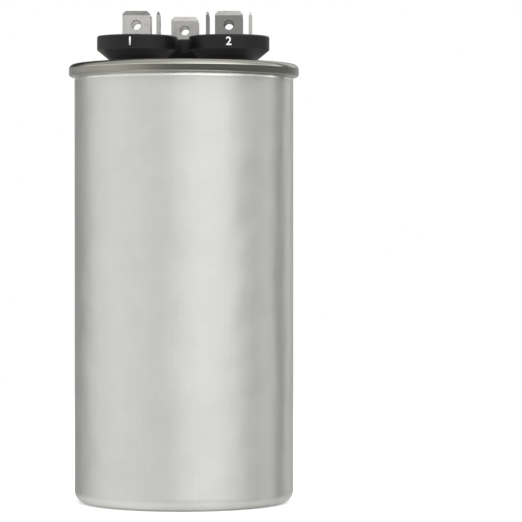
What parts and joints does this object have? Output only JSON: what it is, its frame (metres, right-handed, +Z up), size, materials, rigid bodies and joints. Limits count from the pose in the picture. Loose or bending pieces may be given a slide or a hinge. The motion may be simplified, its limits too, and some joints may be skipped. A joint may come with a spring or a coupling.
{
  "type": "motor run capacitor",
  "caption": "Oil-filled dual motor run capacitor in a round double-seamed aluminium can, with insulated push-on tab terminals on its lid.",
  "frame": {"origin": "centre of the can's base, on the surface that it stands on", "axes": "+Z up along the can's axis towards the terminals, -Y to the front, with the fan terminal at the front left, the compressor terminal at the front right and the common terminal at the back"},
  "size_m": [0.0534, 0.0534, 0.1133],
  "materials": {
    "can_metal": "fine drawn satin",
    "lid_metal": "tinned, finely brushed panel and rolled bright seam",
    "seam_rubber": "matt sealing compound",
    "cup_plastic": "moulded satin black",
    "tab_metal": "tin-plated sheet",
    "stud_metal": "tinned steel",
    "gasket_rubber": "matt",
    "insulator_plastic": "natural",
    "lead_metal": "tinned copper strip",
    "interrupter_plastic": "moulded board",
    "base_cup_plastic": "natural",
    "core_plastic": "natural",
    "wound_film": "metallised film, wound tight",
    "clear_film": "clear film, many layers",
    "sprayed_zinc": "rough sprayed zinc"
  },
  "bodies": {
    "root": {"can": "can_metal", "lid": "lid_metal", "seam_compound": "seam_rubber", "interrupter_disc": "interrupter_plastic", "base_cup": "base_cup_plastic", "core_tube": "core_plastic", "fan_section": "wound_film", "compressor_section": "wound_film", "section_barrier": "clear_film", "winding_wrap": "clear_film", "common_end_spray": "sprayed_zinc", "fan_end_spray": "sprayed_zinc", "compressor_end_spray": "sprayed_zinc", "fan_cup": "cup_plastic", "fan_terminal": "tab_metal", "fan_stud": "stud_metal", "fan_gasket": "gasket_rubber", "fan_inner_insulator": "insulator_plastic", "fan_lead": "lead_metal", "compressor_cup": "cup_plastic", "compressor_terminal": "tab_metal", "compressor_stud": "stud_metal", "compressor_gasket": "gasket_rubber", "compressor_inner_insulator": "insulator_plastic", "compressor_lead": "lead_metal", "common_cup": "cup_plastic", "common_terminal": "tab_metal", "common_stud": "stud_metal", "common_gasket": "gasket_rubber", "common_inner_insulator": "insulator_plastic", "common_lead": "lead_metal"}
  },
  "joints": []
}
